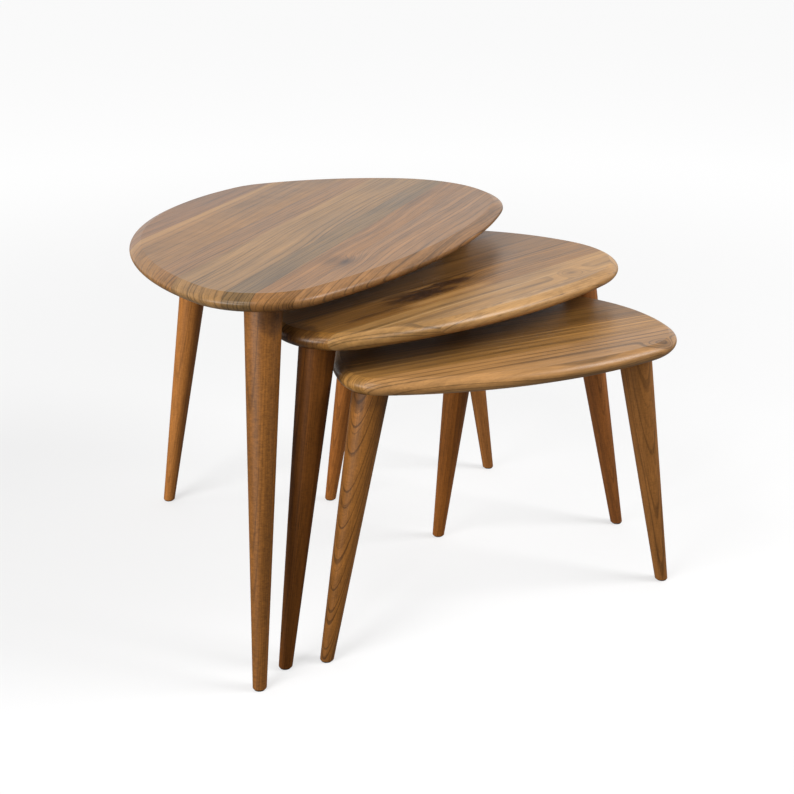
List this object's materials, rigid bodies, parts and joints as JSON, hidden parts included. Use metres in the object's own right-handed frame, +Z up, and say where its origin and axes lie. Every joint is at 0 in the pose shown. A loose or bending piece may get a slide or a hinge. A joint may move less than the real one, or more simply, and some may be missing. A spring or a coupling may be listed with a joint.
{
  "type": "nesting tables",
  "caption": "Set of nesting side tables with pebble-shaped staved wood tops and round tapered splayed legs, fanned out with each smaller table tucked under the next.",
  "frame": {"origin": "middle of the whole set's footprint, on the floor", "axes": "+Z up; -Y towards the viewer, the side that the three tips of the tops point to; +X to the right, the way the smaller tables fan out"},
  "size_m": [0.7028, 0.697, 0.45],
  "materials": {
    "top_wood": "satin",
    "leg_wood": "satin",
    "bolt_steel": "zinc plated",
    "insert_brass": "plain",
    "glide_black": "matt"
  },
  "bodies": {
    "large_table": {"large_stave_1": "top_wood", "large_stave_2": "top_wood", "large_stave_3": "top_wood", "large_stave_4": "top_wood", "large_stave_5": "top_wood", "large_stave_6": "top_wood", "large_stave_7": "top_wood", "large_leg_left": "leg_wood", "large_leg_front": "leg_wood", "large_leg_right": "leg_wood", "large_threaded_inserts": "insert_brass", "large_hanger_bolts": "bolt_steel", "large_glides": "glide_black"},
    "medium_table": {"medium_stave_1": "top_wood", "medium_stave_2": "top_wood", "medium_stave_3": "top_wood", "medium_stave_4": "top_wood", "medium_stave_5": "top_wood", "medium_leg_left": "leg_wood", "medium_leg_front": "leg_wood", "medium_leg_right": "leg_wood", "medium_threaded_inserts": "insert_brass", "medium_hanger_bolts": "bolt_steel", "medium_glides": "glide_black"},
    "small_table": {"small_stave_1": "top_wood", "small_stave_2": "top_wood", "small_stave_3": "top_wood", "small_stave_4": "top_wood", "small_leg_left": "leg_wood", "small_leg_front": "leg_wood", "small_leg_right": "leg_wood", "small_threaded_inserts": "insert_brass", "small_hanger_bolts": "bolt_steel", "small_glides": "glide_black"}
  },
  "joints": [
    {"name": "medium_table_slide", "type": "slide", "parent": "large_table", "child": "medium_table", "axis": [0.9139, -0.406, 0], "range_m": [0, 0.4]},
    {"name": "small_table_slide", "type": "slide", "parent": "medium_table", "child": "small_table", "axis": [0.5561, -0.8311, 0], "range_m": [0, 0.33]}
  ]
}
